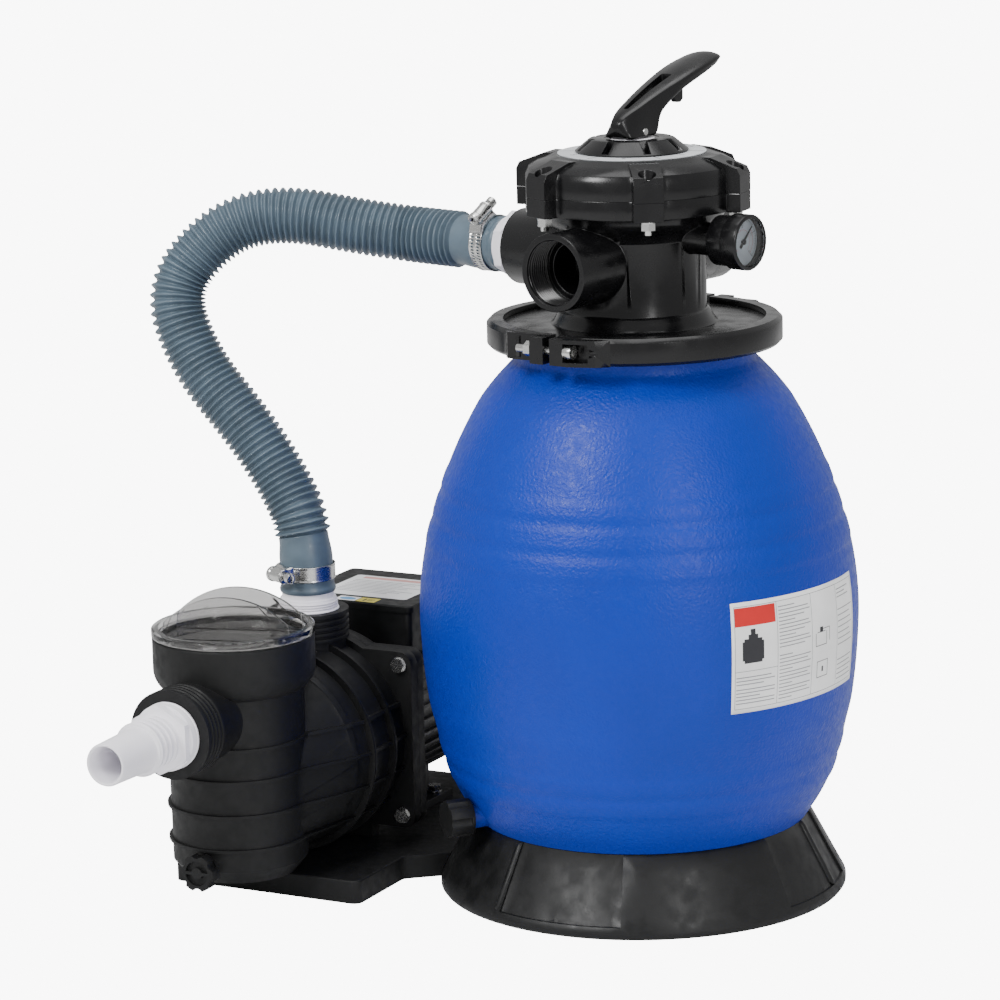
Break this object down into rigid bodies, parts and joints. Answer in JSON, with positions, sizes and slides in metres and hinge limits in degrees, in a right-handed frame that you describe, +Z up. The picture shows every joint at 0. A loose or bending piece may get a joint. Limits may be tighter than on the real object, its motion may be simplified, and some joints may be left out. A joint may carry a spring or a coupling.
{
  "type": "sand filter",
  "caption": "Pool sand filter: blue tank on a round base with a top-mounted multiport valve, and a motor pump on a side platform joined to it by a corrugated hose.",
  "frame": {"origin": "centre of the base's hub face, on the tank's axis at floor level", "axes": "+Z up along the tank's axis; the pump's axis runs along Y at x = -0.26 m with its suction spigot towards -Y; the platform's edges run along X and Y"},
  "size_m": [0.563, 0.543, 0.6226],
  "materials": {
    "black_moulding": "fine grained",
    "gloss_black": "glossy moulded",
    "tank_blue": "orange-peel rotomoulded",
    "label_white": "satin film",
    "steel": "bright zinc or stainless",
    "chrome": "bright",
    "rubber": "matt",
    "hose_grey": "satin",
    "white_plastic": "satin",
    "clear_plastic": "clear",
    "grey_disc": "satin",
    "dial_white": "printed",
    "motor_grey": "satin paint",
    "copper_iron": "laminated",
    "light_plastic": "moulded"
  },
  "bodies": {
    "root": {"tank_base": "black_moulding", "pump_platform": "black_moulding", "tank_shell": "tank_blue", "tank_label": "label_white", "clamp_half_left": "gloss_black", "clamp_half_right": "gloss_black", "clamp_fasteners": "steel", "flange_o_ring": "rubber", "valve_body": "gloss_black", "valve_lid": "gloss_black", "valve_lid_o_ring": "rubber", "valve_lid_fasteners": "steel", "spider_gasket": "rubber", "position_disc": "grey_disc", "gauge_case": "gloss_black", "gauge_bezel": "gloss_black", "gauge_dial": "dial_white", "gauge_lens": "clear_plastic", "hose_adapter_valve": "white_plastic", "hose_adapter_pump": "white_plastic", "suction_adapter": "white_plastic", "hose": "hose_grey", "hose_clamp_valve": "steel", "hose_clamp_pump": "steel", "pump_housing": "black_moulding", "pump_diffuser": "black_moulding", "seal_plate": "black_moulding", "motor_shell": "motor_grey", "motor_stator": "copper_iron", "motor_bearings": "steel", "motor_end_bell": "motor_grey", "fan_cover": "motor_grey", "pump_bolts": "steel", "switch_box": "black_moulding", "switch_box_lid": "black_moulding", "cable_gland": "black_moulding", "standpipe": "white_plastic", "lateral_hub": "light_plastic", "laterals": "light_plastic", "top_diffuser": "light_plastic"},
    "selector": {"stem_washer": "white_plastic"},
    "rotor": {"valve_rotor": "light_plastic", "handle_pin": "steel", "rotor_spring": "steel"},
    "handle": {"valve_handle": "gloss_black"},
    "needle": {"gauge_needle": "black_moulding"},
    "pump_shaft": {"motor_shaft": "steel", "motor_rotor": "copper_iron", "impeller": "black_moulding", "cooling_fan": "black_moulding", "shaft_seal": "rubber"},
    "lid_seal": {"pump_lid_seal": "rubber"},
    "lid": {"pump_lid": "clear_plastic"},
    "basket": {"strainer_basket": "light_plastic"},
    "pump_plug_seal": {"pump_drain_seal": "rubber"},
    "pump_plug": {"pump_drain_plug": "black_moulding"},
    "tank_cap_seal": {"tank_drain_seal": "rubber"},
    "tank_cap": {"tank_drain_cap": "black_moulding"},
    "valve_clamp_screw": {"hose_clamp_screw_valve": "steel"},
    "pump_clamp_screw": {"hose_clamp_screw_pump": "steel"}
  },
  "joints": [
    {"name": "handle_turn", "type": "hinge", "parent": "root", "child": "selector", "pos_m": [0, 0, 0.57], "axis": [0, 0, 1], "continuous": true},
    {"name": "rotor_lift", "type": "slide", "parent": "selector", "child": "rotor", "axis": [0, 0, 1], "range_m": [0, 0.0055], "deforming": ["rotor_spring"]},
    {"name": "handle_press", "type": "hinge", "parent": "rotor", "child": "handle", "pos_m": [0, 0, 0.573], "axis": [-0.9781, 0.2079, 0], "range_deg": [0, 20], "stiffness_Nm_per_rad": 4, "springref_deg": -14.32},
    {"name": "needle_swing", "type": "hinge", "parent": "root", "child": "needle", "pos_m": [0.09733, -0.02069, 0.498], "axis": [-0.9781, 0.2079, 0], "range_deg": [0, 270]},
    {"name": "shaft_spin", "type": "hinge", "parent": "root", "child": "pump_shaft", "pos_m": [-0.26, 0, 0.099], "axis": [0, 1, 0], "continuous": true},
    {"name": "lid_lift", "type": "slide", "parent": "root", "child": "lid_seal", "axis": [0, 0, 1], "range_m": [0, 0.2]},
    {"name": "lid_turn", "type": "hinge", "parent": "lid_seal", "child": "lid", "pos_m": [-0.26, -0.161, 0.206], "axis": [0, 0, 1], "range_deg": [0, 360]},
    {"name": "basket_lift", "type": "slide", "parent": "root", "child": "basket", "axis": [0, 0, 1], "range_m": [0, 0.17]},
    {"name": "pump_plug_out", "type": "slide", "parent": "root", "child": "pump_plug_seal", "axis": [0, -1, 0], "range_m": [0, 0.016]},
    {"name": "pump_plug_turn", "type": "hinge", "parent": "pump_plug_seal", "child": "pump_plug", "pos_m": [-0.26, -0.22, 0.036], "axis": [0, -1, 0], "range_deg": [0, 1440]},
    {"name": "tank_cap_out", "type": "slide", "parent": "root", "child": "tank_cap_seal", "axis": [-0.6428, -0.766, 0], "range_m": [0, 0.014]},
    {"name": "tank_cap_turn", "type": "hinge", "parent": "tank_cap_seal", "child": "tank_cap", "pos_m": [-0.09642, -0.11491, 0.068], "axis": [-0.6428, -0.766, 0], "range_deg": [0, 1080]},
    {"name": "valve_clamp_turn", "type": "hinge", "parent": "root", "child": "valve_clamp_screw", "pos_m": [-0.13486, 0.01486, 0.50338], "axis": [-0.1801, -0.8471, -0.5], "continuous": true},
    {"name": "pump_clamp_turn", "type": "hinge", "parent": "root", "child": "pump_clamp_screw", "pos_m": [-0.27141, -0.07247, 0.23], "axis": [-0.9063, 0.4226, 0], "continuous": true}
  ],
  "couplings": [
    {"joint": "rotor_lift", "follows": "handle_press", "m_per_rad": 0.015755},
    {"joint": "basket_lift", "follows": "lid_lift", "ratio": 0.85},
    {"joint": "pump_plug_out", "follows": "pump_plug_turn", "m_per_rad": 0.0006365},
    {"joint": "tank_cap_out", "follows": "tank_cap_turn", "m_per_rad": 0.0007426}
  ]
}
